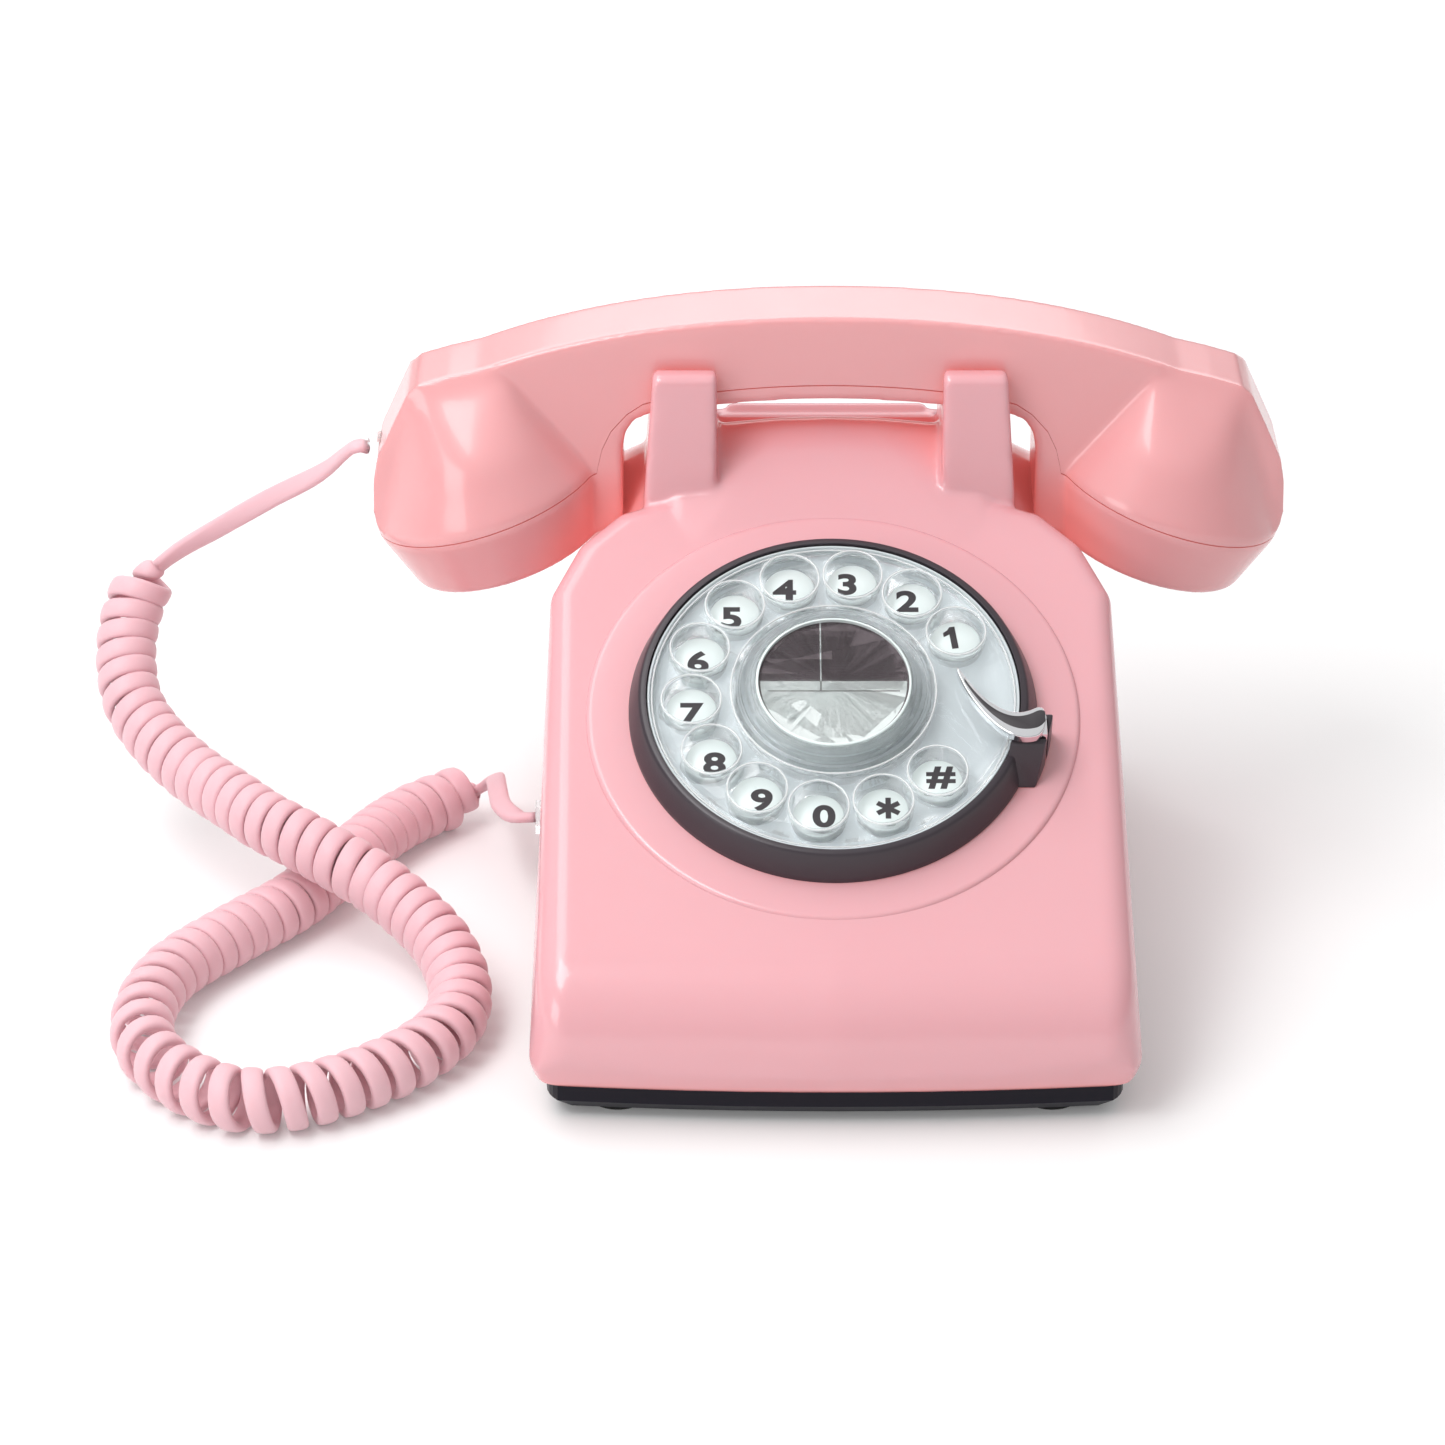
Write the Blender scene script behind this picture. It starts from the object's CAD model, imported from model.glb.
"""Push-button desk telephone in the 1960s style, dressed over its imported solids.

Pieces are modelled in millimetres, in the same frame as the solids, and shrunk to metres when they
are settled on the body that carries them. +Z is up, the front faces -Y, and X=0 is the plane of
symmetry.
"""
import logging
import math
from bisect import bisect_right
from contextlib import contextmanager
from dataclasses import dataclass, field
from enum import Enum
from typing import Callable, Iterator, Sequence

import bmesh
import bpy
from mathutils import Matrix, Vector


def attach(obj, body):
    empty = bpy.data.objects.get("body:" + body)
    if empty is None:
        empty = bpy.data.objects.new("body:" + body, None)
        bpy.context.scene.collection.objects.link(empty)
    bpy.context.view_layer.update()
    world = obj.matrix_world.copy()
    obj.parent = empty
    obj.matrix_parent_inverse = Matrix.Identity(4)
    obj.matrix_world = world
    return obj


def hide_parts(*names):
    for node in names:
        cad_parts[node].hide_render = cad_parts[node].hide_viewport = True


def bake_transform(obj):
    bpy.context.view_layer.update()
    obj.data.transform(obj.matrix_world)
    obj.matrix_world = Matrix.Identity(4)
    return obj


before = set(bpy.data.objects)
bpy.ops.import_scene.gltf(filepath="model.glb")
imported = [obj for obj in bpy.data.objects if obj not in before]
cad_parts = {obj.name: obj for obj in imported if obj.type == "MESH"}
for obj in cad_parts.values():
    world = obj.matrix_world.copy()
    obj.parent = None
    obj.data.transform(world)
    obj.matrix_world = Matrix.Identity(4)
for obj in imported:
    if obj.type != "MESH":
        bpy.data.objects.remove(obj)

logging.basicConfig(level=logging.INFO, format="%(message)s")
log = logging.getLogger("telephone")

MM = 0.001
NEAR_AXIS = 0.001  # radius of the pinhole that a lathed disc closes round
Point = tuple[float, float, float]
Pair = tuple[float, float]
Colour = tuple[float, float, float]
Piece = bpy.types.Object
Socket = bpy.types.NodeSocket

# The driving dimensions of the solids, in millimetres and radians.
PANEL_SLOPE = math.radians(28.0)
FRONT_Y = -98.0
HALF_W = 73.0
DIAL_Y = -22.6
DIAL_UP = 73.3
HAND_Y = 58.5
GRIP_TOP = 149.1
GRIP_D = 25.0
HANDSET_L = 231.0
PLUG_Z = GRIP_TOP - 40.5
BODY_JACK: Pair = (17.0, 24.0)  # y and z of the cord's socket in the left side
LINE_JACK: Pair = (30.0, 24.0)  # x and z of the line's socket in the rear


class Body(str, Enum):
    """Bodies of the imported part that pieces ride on."""

    BASE = "base"
    HANDSET = "handset"
    CENTRE = "centre_button"
    STOP = "finger_stop"


class Cut(str, Enum):
    """What a boolean does with its tool."""

    AWAY = "DIFFERENCE"
    KEEP = "INTERSECT"
    ADD = "UNION"


# ---------------------------------------------------------------- modelling helpers


def only(obj: Piece) -> Piece:
    """Selects one object alone and makes it active.

    Args:
        obj: The object to work on.

    Returns:
        The same object.
    """
    bpy.ops.object.select_all(action="DESELECT")
    obj.select_set(True)
    bpy.context.view_layer.objects.active = obj
    return obj


@contextmanager
def editing(obj: Piece) -> Iterator[Piece]:
    """Opens edit mode on one object with all of it selected.

    Args:
        obj: The object to edit.

    Yields:
        The same object.
    """
    only(obj)
    bpy.ops.object.mode_set(mode="EDIT")
    bpy.ops.mesh.select_all(action="SELECT")
    yield obj
    bpy.ops.object.mode_set(mode="OBJECT")


def applied(obj: Piece, kind: str, **settings: object) -> Piece:
    """Adds a modifier with these settings and applies it.

    Args:
        obj: The object to change.
        kind: Blender's name of the modifier.
        **settings: Values for the modifier.

    Returns:
        The same object.
    """
    only(obj)
    modifier = obj.modifiers.new(kind.title(), kind)
    for key, value in settings.items():
        setattr(modifier, key, value)
    bpy.ops.object.modifier_apply(modifier=modifier.name)
    return obj


def baked(obj: Piece) -> Piece:
    """Writes an object's place, turn and size into its mesh.

    Args:
        obj: The object.

    Returns:
        The same object, unturned and unscaled at the origin.
    """
    only(obj)
    bpy.ops.object.transform_apply(location=True, rotation=True, scale=True)
    return obj


def joined(parts: Sequence[Piece]) -> Piece:
    """Joins objects into the first one.

    Args:
        parts: The objects, at least one.

    Returns:
        The joined object, placed at the origin.
    """
    bpy.ops.object.select_all(action="DESELECT")
    for part in parts:
        part.select_set(True)
    bpy.context.view_layer.objects.active = parts[0]
    if len(parts) > 1:
        bpy.ops.object.join()
    return baked(parts[0])


def outward(obj: Piece, merge: float = 0.001) -> Piece:
    """Merges doubles and turns every face outwards.

    Args:
        obj: A closed mesh.
        merge: Distance under which points become one, in millimetres.

    Returns:
        The same object.
    """
    with editing(obj):
        bpy.ops.mesh.remove_doubles(threshold=merge)
        bpy.ops.mesh.normals_make_consistent(inside=False)
    return obj


def added(kind: Callable, **values: object) -> Piece:
    """Adds a primitive with nothing else selected.

    Args:
        kind: The operator that adds it.
        **values: What the operator is told.

    Returns:
        The new object.
    """
    bpy.ops.object.select_all(action="DESELECT")
    kind(**values)
    return bpy.context.active_object


def outline(points: Sequence[Point], fill: bool = True) -> Piece:
    """Makes a closed outline from a primitive circle.

    Args:
        points: The corners in order.
        fill: Whether the outline is a face or only its edge.

    Returns:
        The new object.
    """
    kind = "NGON" if fill else "NOTHING"
    obj = added(bpy.ops.mesh.primitive_circle_add, vertices=len(points), radius=1.0, fill_type=kind)
    for vertex, point in zip(obj.data.vertices, points):
        vertex.co = point
    return obj


def prism(points: Sequence[Point], along: Point) -> Piece:
    """Extrudes a closed outline.

    Args:
        points: Corners of the flat outline.
        along: The extrusion as a vector.

    Returns:
        The closed solid.
    """
    obj = outline(points)
    with editing(obj):
        bpy.ops.mesh.extrude_region_move(TRANSFORM_OT_translate={"value": along})
    return outward(obj)


def ball(place: Point, radius: float, facets: int = 48) -> Piece:
    """Adds a sphere, with some segments round it and half as many rings."""
    return added(bpy.ops.mesh.primitive_uv_sphere_add, segments=facets, ring_count=facets // 2,
                 radius=radius, location=place)


def rod(place: Point, radius: float, depth: float, turn: Point = (0, 0, 0), facets: int = 96) -> Piece:
    """Adds a cylinder by its centre, radius and length; the turn is X, Y and Z angles in radians."""
    return added(bpy.ops.mesh.primitive_cylinder_add, vertices=facets, radius=radius, depth=depth,
                 location=place, rotation=turn)


def block(low: Point, high: Point) -> Piece:
    """Adds a box between its lowest and its highest corner."""
    middle, size = [(a + b) / 2 for a, b in zip(low, high)], [b - a for a, b in zip(low, high)]
    return baked(added(bpy.ops.mesh.primitive_cube_add, size=1, location=middle, scale=size))


def hull(parts: Sequence[Piece]) -> Piece:
    """Wraps a closed convex skin round some parts.

    Args:
        parts: The objects, which are joined into one.

    Returns:
        The skin.
    """
    obj = joined(parts)
    with editing(obj):
        bpy.ops.mesh.convex_hull()
    return outward(obj)


def lathe(profile: Sequence[Pair], steps: int = 160) -> Piece:
    """Spins a closed profile round the Z axis.

    Args:
        profile: Radius and height of each corner, in order.
        steps: Segments of the full turn.

    Returns:
        The closed ring or disc.
    """
    obj = outline([(r, 0.0, h) for r, h in profile], fill=False)
    with editing(obj):
        bpy.ops.mesh.spin(steps=steps, angle=math.tau, center=(0, 0, 0), axis=(0, 0, 1), use_auto_merge=True)
    return outward(obj)


def cut(obj: Piece, tool: Piece, how: Cut = Cut.AWAY) -> Piece:
    """Applies a boolean and removes its tool.

    Args:
        obj: The object to change.
        tool: The object that cuts or joins.
        how: What the boolean does.

    Returns:
        The changed object.
    """
    baked(tool)
    applied(obj, "BOOLEAN", object=tool, operation=how.value, solver="EXACT")
    bpy.data.objects.remove(tool, do_unlink=True)
    return obj


def softened(obj: Piece, voxel: float, rounds: int) -> Piece:
    """Melts overlapping solids into one skin with small fillets; voxel is the new mesh's size."""
    applied(obj, "REMESH", mode="VOXEL", voxel_size=voxel, use_smooth_shade=True)
    return applied(obj, "SMOOTH", factor=0.5, iterations=rounds)


def smooth_by_angle(obj: Piece, degrees: float = 35.0) -> Piece:
    """Shades round faces smooth and keeps the edges sharp whose angle is greater.

    Args:
        obj: The object.
        degrees: The greatest angle between two faces that still look like one.

    Returns:
        The same object.
    """
    only(obj)
    bpy.ops.object.shade_smooth_by_angle(angle=math.radians(degrees))
    return obj


def bevelled(obj: Piece, width: float, segments: int = 2, degrees: float = 35.0) -> Piece:
    """Rounds the edges of a solid that are sharper than an angle, with some faces across each."""
    return applied(obj, "BEVEL", width=width, segments=segments, limit_method="ANGLE",
                   angle_limit=math.radians(degrees), harden_normals=False)


def on_panel(obj: Piece) -> Piece:
    """Moves an object from the origin, where the dial's normal is Z, to the sloping panel.

    Args:
        obj: The object, modelled round the dial's middle.

    Returns:
        The same object, with its place in its mesh.
    """
    only(obj)
    tilt = Matrix.Rotation(PANEL_SLOPE, 4, "X")
    obj.matrix_world = Matrix.Translation((0, DIAL_Y, DIAL_UP)) @ tilt @ obj.matrix_world
    return baked(obj)


def panel(x: float, up: float, height: float) -> Point:
    """Gives the point at x, up the dial panel's slope from the dial's centre and above the panel."""
    c, s = math.cos(PANEL_SLOPE), math.sin(PANEL_SLOPE)
    return (x, DIAL_Y + up * c - height * s, DIAL_UP + up * s + height * c)


def settle(obj: Piece, name: str, body: str, finish: "Finish", stands_for: Sequence[str] = ()) -> Piece:
    """Shrinks a finished piece to metres, dresses it and lets it ride on its body.

    Args:
        obj: The piece, modelled in millimetres.
        name: Its name.
        body: The body that carries it.
        finish: Its finish.
        stands_for: Nodes of the part that it replaces.

    Returns:
        The same object.
    """
    obj.name = name
    obj.data.name = name
    obj.scale = (MM, MM, MM)
    baked(obj)
    obj.data.materials.clear()
    obj.data.materials.append(finish.material())
    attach(obj, body)
    if stands_for:
        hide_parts(*stands_for)
    log.info("%-22s %7d faces on %s", name, len(obj.data.polygons), body)
    return obj


def dress(node: str, finish: "Finish") -> None:
    """Gives a carried-over node of the part its finish.

    Args:
        node: Its name.
        finish: The finish.
    """
    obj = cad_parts[node]
    obj.data.materials.clear()
    obj.data.materials.append(finish.material())
    log.info("%-22s dressed", node)


# ---------------------------------------------------------------- finishes


class Graph:
    """Nodes of one material, with short calls to add and join them."""

    def __init__(self, name: str) -> None:
        """Starts a material with one Principled shader.

        Args:
            name: The material's name.
        """
        self.mat = bpy.data.materials.new(name)
        self.mat.use_nodes = True
        self.tree = self.mat.node_tree
        self.shader = self.tree.nodes["Principled BSDF"]
        self.place = self.add("ShaderNodeTexCoord").outputs["Object"]

    def add(self, kind: str, inputs: dict | None = None, **settings: object) -> bpy.types.Node:
        """Adds a node.

        Args:
            kind: Blender's type name of the node.
            inputs: Sockets by name or number, each with a value or another node's output.
            **settings: Properties of the node.

        Returns:
            The new node.
        """
        node = self.tree.nodes.new(kind)
        for key, value in settings.items():
            setattr(node, key, value)
        for key, value in (inputs or {}).items():
            self.join(value, node.inputs[key])
        return node

    def join(self, value: object, socket: Socket) -> None:
        """Links an output to a socket, or writes a plain value into it.

        Args:
            value: An output or a plain value.
            socket: The input that it goes to.
        """
        if isinstance(value, Socket):
            self.tree.links.new(value, socket)
        else:
            socket.default_value = value

    def surface(self, cloud: float, marks: float, grain: float,
                place: Socket | None = None) -> bpy.types.Node:
        """Adds the shared surface group, read at the object's coordinates or at another place."""
        inputs = {"Vector": place or self.place, "Cloud": cloud, "Marks": marks, "Grain": grain}
        return self.add("ShaderNodeGroup", inputs, node_tree=surface_group())

    def set(self, **sockets: object) -> None:
        """Writes the shader's sockets, with underscores for spaces in their names."""
        for key, value in sockets.items():
            self.join(value, self.shader.inputs[key.replace("_", " ")])

    def mixed(self, first: Colour | Socket, second: Colour | Socket, share: Socket) -> Socket:
        """Blends two colours, each a plain one or another node's, by a mask.

        Args:
            first: The colour where the mask is 0.
            second: The colour where it is 1.
            share: The mask.

        Returns:
            The blended colour.
        """
        ends = [end if isinstance(end, Socket) else (*end, 1) for end in (first, second)]
        inputs = {"Factor": share, "A": ends[0], "B": ends[1]}
        return self.add("ShaderNodeMix", inputs, data_type="RGBA").outputs["Result"]

    def sums(self, kind: str, *values: object) -> Socket:
        """Adds one Math node with its one to three values and gives its output."""
        return self.add("ShaderNodeMath", dict(enumerate(values)), operation=kind).outputs[0]

    def ranged(self, value: Socket, low: float, high: float) -> Socket:
        """Maps a mask from 0 to 1 onto another range."""
        node = self.add("ShaderNodeMapRange", {"Value": value, "To Min": low, "To Max": high})
        return node.outputs["Result"]

    def bump(self, height: Socket, depth: float) -> Socket:
        """Turns a height into a normal; depth is in metres."""
        return self.add("ShaderNodeBump", {"Height": height, "Distance": depth}).outputs["Normal"]


def surface_group() -> bpy.types.NodeTree:
    """Makes, once, the shared group of a moulded surface: cloudiness, handling marks and fine relief.

    Returns:
        The group, with inputs Vector, Cloud, Marks and Grain, and outputs Shade, Smudge and Height.
    """
    found = bpy.data.node_groups.get("moulded_surface")
    if found:
        return found
    tree = bpy.data.node_groups.new("moulded_surface", "ShaderNodeTree")
    tree.interface.new_socket(name="Vector", in_out="INPUT", socket_type="NodeSocketVector")
    for name in ("Cloud", "Marks", "Grain"):
        tree.interface.new_socket(name=name, in_out="INPUT", socket_type="NodeSocketFloat")
    for name in ("Shade", "Smudge", "Height"):
        tree.interface.new_socket(name=name, in_out="OUTPUT", socket_type="NodeSocketFloat")
    start, end = tree.nodes.new("NodeGroupInput"), tree.nodes.new("NodeGroupOutput")
    layers = (("Shade", "Cloud", 3.0), ("Smudge", "Marks", 6.0), ("Height", "Grain", 2.0))
    for output, scale, detail in layers:
        noise = tree.nodes.new("ShaderNodeTexNoise")
        noise.inputs["Detail"].default_value = detail
        tree.links.new(start.outputs["Vector"], noise.inputs["Vector"])
        tree.links.new(start.outputs[scale], noise.inputs["Scale"])
        tree.links.new(noise.outputs["Fac"], end.inputs[output])
    return tree


class Finish:
    """A finish that makes its material once."""

    name: str

    def material(self) -> bpy.types.Material:
        """Gives the finish's material, making it at the first call."""
        found = bpy.data.materials.get(self.name)
        return found if found else self.made()

    def made(self) -> bpy.types.Material:
        """Builds the material; each finish has its own."""
        raise NotImplementedError


@dataclass(frozen=True)
class MouldedPlastic(Finish):
    """Injection-moulded plastic with faint cloudiness, wiping marks and orange peel.

    The deep colour shows in the clouds. The corner colour, where there is one, tints narrow corners, as
    light does that bounces between coloured walls.
    """

    name: str
    colour: Colour
    deep: Colour
    roughness: float = 0.2
    coat: float = 0.0
    glow: float = 0.0
    glow_depth: float = 0.002
    peel: float = 0.00002
    grain: float = 900.0
    metallic: float = 0.0
    corner: Colour | None = None
    corner_reach: float = 0.03
    corner_glow: Colour = (0.90, 0.28, 0.25)
    glow_strength: float = 0.1
    specular: float = 0.5

    def made(self) -> bpy.types.Material:
        """Builds the plastic's material.

        Returns:
            The material.
        """
        g = Graph(self.name)
        marks = g.surface(14.0, 90.0, self.grain)
        colour = g.mixed(self.colour, self.deep, g.ranged(marks.outputs["Shade"], 0.0, 0.5))
        if self.corner:
            hidden = g.add("ShaderNodeAmbientOcclusion", {"Distance": self.corner_reach}, samples=8)
            limits = {"Value": hidden.outputs["AO"], "From Min": 0.15, "From Max": 0.75, "To Min": 0.8,
                      "To Max": 0.0}
            share = g.add("ShaderNodeMapRange", limits, interpolation_type="SMOOTHSTEP").outputs["Result"]
            colour = g.mixed(colour, self.corner, share)
            bounce = g.mixed((0.0, 0.0, 0.0), self.corner_glow, share)
            g.set(Emission_Color=bounce, Emission_Strength=self.glow_strength)
        g.set(Base_Color=colour,
              Roughness=g.ranged(marks.outputs["Smudge"], self.roughness * 0.75, self.roughness * 1.3),
              Metallic=self.metallic, Coat_Weight=self.coat, Coat_Roughness=0.06, IOR=1.5,
              Specular_IOR_Level=self.specular,
              Normal=g.bump(marks.outputs["Height"], self.peel))
        if self.glow:
            g.set(Subsurface_Weight=self.glow, Subsurface_Radius=(1.0, 0.3, 0.25),
                  Subsurface_Scale=self.glow_depth)
        return g.mat


@dataclass(frozen=True)
class ClearPlastic(Finish):
    """Clear acrylic with hairline wiping marks."""

    name: str
    tint: Colour = (0.97, 0.99, 1.0)
    roughness: float = 0.02
    alpha: float = 0.45
    passing: float = 1.0

    def made(self) -> bpy.types.Material:
        """Builds the acrylic's material.

        Returns:
            The material.
        """
        g = Graph(self.name)
        marks = g.surface(30.0, 160.0, 500.0)
        g.set(Base_Color=g.mixed(self.tint, tuple(0.98 * c for c in self.tint), marks.outputs["Shade"]),
              Roughness=g.ranged(marks.outputs["Smudge"], self.roughness * 0.5, self.roughness * 2.0),
              Transmission_Weight=self.passing, IOR=1.49, Alpha=self.alpha,
              Normal=g.bump(marks.outputs["Height"], 0.000008))
        return g.mat


@dataclass(frozen=True)
class Metal(Finish):
    """Plated or brushed metal; brush is how much longer its grain runs than it is wide."""

    name: str
    colour: Colour = (0.80, 0.80, 0.82)
    roughness: float = 0.1
    brush: float = 1.0
    relief: float = 0.000005

    def made(self) -> bpy.types.Material:
        """Builds the metal's material.

        Returns:
            The material.
        """
        g = Graph(self.name)
        grain = g.add("ShaderNodeMapping", {"Vector": g.place, "Scale": (1.0, self.brush, self.brush)})
        marks = g.surface(60.0, 240.0, 900.0, grain.outputs["Vector"])
        g.set(Base_Color=g.mixed(self.colour, tuple(0.85 * c for c in self.colour), marks.outputs["Shade"]),
              Roughness=g.ranged(marks.outputs["Smudge"], self.roughness * 0.6, self.roughness * 1.5),
              Metallic=1.0, Normal=g.bump(marks.outputs["Height"], self.relief))
        return g.mat


@dataclass(frozen=True)
class Sheath(Finish):
    """Matt cable sheath of soft PVC with a fine skin and slight soiling on the crests."""

    name: str
    colour: Colour
    deep: Colour
    roughness: float = 0.5

    def made(self) -> bpy.types.Material:
        """Builds the sheath's material.

        Returns:
            The material.
        """
        g = Graph(self.name)
        marks = g.surface(40.0, 350.0, 2600.0)
        g.set(Base_Color=g.mixed(self.colour, self.deep, marks.outputs["Shade"]),
              Roughness=g.ranged(marks.outputs["Smudge"], self.roughness * 0.8, self.roughness * 1.25),
              Sheen_Weight=0.25, Sheen_Roughness=0.5, Subsurface_Weight=0.1,
              Subsurface_Radius=(1.0, 0.4, 0.4), Subsurface_Scale=0.001,
              Normal=g.bump(marks.outputs["Height"], 0.00003))
        return g.mat


@dataclass(frozen=True)
class PrintedCard(Finish):
    """Round card with a dark upper half, a pale lower half and thin ruled lines, in millimetres."""

    name: str = "printed_card"
    dark: Colour = (0.100, 0.078, 0.088)
    pale: Colour = (0.70, 0.75, 0.74)
    edge_at: float = 0.6
    rule_at: float = -2.3
    rule_half: float = 16.0
    stem_at: float = -3.1
    line: float = 0.16
    rim: float = 17.75

    def made(self) -> bpy.types.Material:
        """Builds the card's material from the panel's own coordinates, in millimetres.

        Returns:
            The material.
        """
        g = Graph(self.name)
        centred = g.add("ShaderNodeMapping",
                        {"Vector": g.place, "Location": (0.0, -DIAL_Y * MM, -DIAL_UP * MM)})
        level = g.add("ShaderNodeMapping",
                      {"Vector": centred.outputs["Vector"], "Rotation": (-PANEL_SLOPE, 0.0, 0.0),
                       "Scale": (1 / MM, 1 / MM, 1 / MM)})
        at = g.add("ShaderNodeSeparateXYZ", {"Vector": level.outputs["Vector"]})
        x, up = at.outputs["X"], at.outputs["Y"]
        flat = g.add("ShaderNodeCombineXYZ", {"X": x, "Y": up}).outputs["Vector"]
        radius = g.add("ShaderNodeVectorMath", {0: flat}, operation="LENGTH").outputs["Value"]
        upper = g.sums("GREATER_THAN", up, self.edge_at)
        rule = g.sums("MULTIPLY", g.sums("COMPARE", up, self.rule_at, self.line),
                      g.sums("LESS_THAN", g.sums("ABSOLUTE", x), self.rule_half))
        stem = g.sums("MULTIPLY", g.sums("COMPARE", x, self.stem_at, self.line),
                      g.sums("GREATER_THAN", up, self.rule_at))
        dark = g.sums("MAXIMUM", rule, g.sums("GREATER_THAN", radius, self.rim))
        dark = g.sums("MAXIMUM", g.sums("MULTIPLY", stem, g.sums("SUBTRACT", 1.0, upper)), dark)
        ruled = g.mixed(g.mixed(self.pale, self.dark, upper), self.dark, dark)
        colour = g.mixed(ruled, self.pale, g.sums("MULTIPLY", stem, upper))
        fibre = g.surface(200.0, 500.0, 3000.0)
        g.set(Base_Color=colour, Roughness=g.ranged(fibre.outputs["Smudge"], 0.45, 0.6),
              Normal=g.bump(fibre.outputs["Height"], 0.00001))
        return g.mat


@dataclass(frozen=True)
class CircuitBoard(Finish):
    """Lacquered board with fine copper tracks."""

    name: str = "circuit_board"
    lacquer: Colour = (0.02, 0.16, 0.07)
    track: Colour = (0.05, 0.30, 0.13)

    def made(self) -> bpy.types.Material:
        """Builds the board's material.

        Returns:
            The material.
        """
        g = Graph(self.name)
        brick = g.add("ShaderNodeTexBrick", {"Vector": g.place, "Scale": 160.0, "Mortar Size": 0.06,
                                             "Color1": (*self.lacquer, 1), "Color2": (*self.lacquer, 1),
                                             "Mortar": (*self.track, 1)})
        marks = g.surface(50.0, 300.0, 900.0)
        g.set(Base_Color=brick.outputs["Color"], Roughness=g.ranged(marks.outputs["Smudge"], 0.3, 0.5),
              Normal=g.bump(brick.outputs["Fac"], 0.00003))
        return g.mat


GLOSS = {"roughness": 0.22, "coat": 0.35, "glow": 0.12, "glow_depth": 0.004, "peel": 0.000012, "grain": 260.0}
PINK = MouldedPlastic("pink_gloss", (0.765, 0.390, 0.424), (0.735, 0.360, 0.395),
                      corner=(0.87, 0.30, 0.285), **GLOSS)
HAND_PINK = MouldedPlastic("hand_pink_gloss", (0.795, 0.372, 0.384), (0.765, 0.338, 0.350),
                           corner=(0.85, 0.30, 0.28), **GLOSS)
BLACK_RING = MouldedPlastic("dark_satin", (0.040, 0.030, 0.038), (0.030, 0.022, 0.030), roughness=0.34,
                            peel=0.00002, grain=1500.0)
BLACK_BASE = MouldedPlastic("black_satin", (0.012, 0.011, 0.018), (0.008, 0.008, 0.014), roughness=0.32,
                            peel=0.00002, grain=1500.0, specular=0.15)
SILVER_PLATE = MouldedPlastic("pearl_silver", (0.69, 0.745, 0.765), (0.64, 0.70, 0.72), roughness=0.32,
                              coat=0.3, metallic=0.15, peel=0.000006, grain=2200.0)
KEY_SILVER = MouldedPlastic("key_pearl", (0.80, 0.88, 0.87), (0.76, 0.84, 0.83), roughness=0.3, coat=0.3,
                            peel=0.000006, grain=2200.0)
INK = MouldedPlastic("printed_ink", (0.035, 0.030, 0.035), (0.030, 0.025, 0.030), roughness=0.4,
                     peel=0.000004)
IVORY = MouldedPlastic("ivory_moulding", (0.62, 0.58, 0.50), (0.56, 0.52, 0.44), roughness=0.4)
FEET_RUBBER = MouldedPlastic("feet_rubber", (0.02, 0.02, 0.02), (0.03, 0.03, 0.03), roughness=0.8,
                             peel=0.00006)
MAT_RUBBER = MouldedPlastic("mat_rubber", (0.20, 0.20, 0.21), (0.16, 0.16, 0.17), roughness=0.7, peel=0.00004)
CLEAR = ClearPlastic("clear_acrylic", alpha=0.6)
CLEAR_EDGE = ClearPlastic("polished_edge", (0.98, 0.99, 1.0), 0.12, 0.75, 0.25)
CLEAR_WINDOW = ClearPlastic("clear_window", alpha=0.05)
CLEAR_PLUG = ClearPlastic("clear_plug", (0.93, 0.96, 0.97), 0.08, 0.8)
CHROME = Metal("bright_chrome", (0.82, 0.83, 0.85), 0.05)
STEEL = Metal("zinc_steel", (0.55, 0.56, 0.58), 0.28, brush=8.0, relief=0.00001)
IRON = Metal("cast_weight", (0.22, 0.22, 0.23), 0.5, relief=0.00005)
CAPSULE = Metal("capsule_metal", (0.60, 0.58, 0.55), 0.3, relief=0.00001)
CORD = Sheath("cord_sheath", (0.80, 0.490, 0.535), (0.735, 0.435, 0.480))


# ---------------------------------------------------------------- studio


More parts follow.
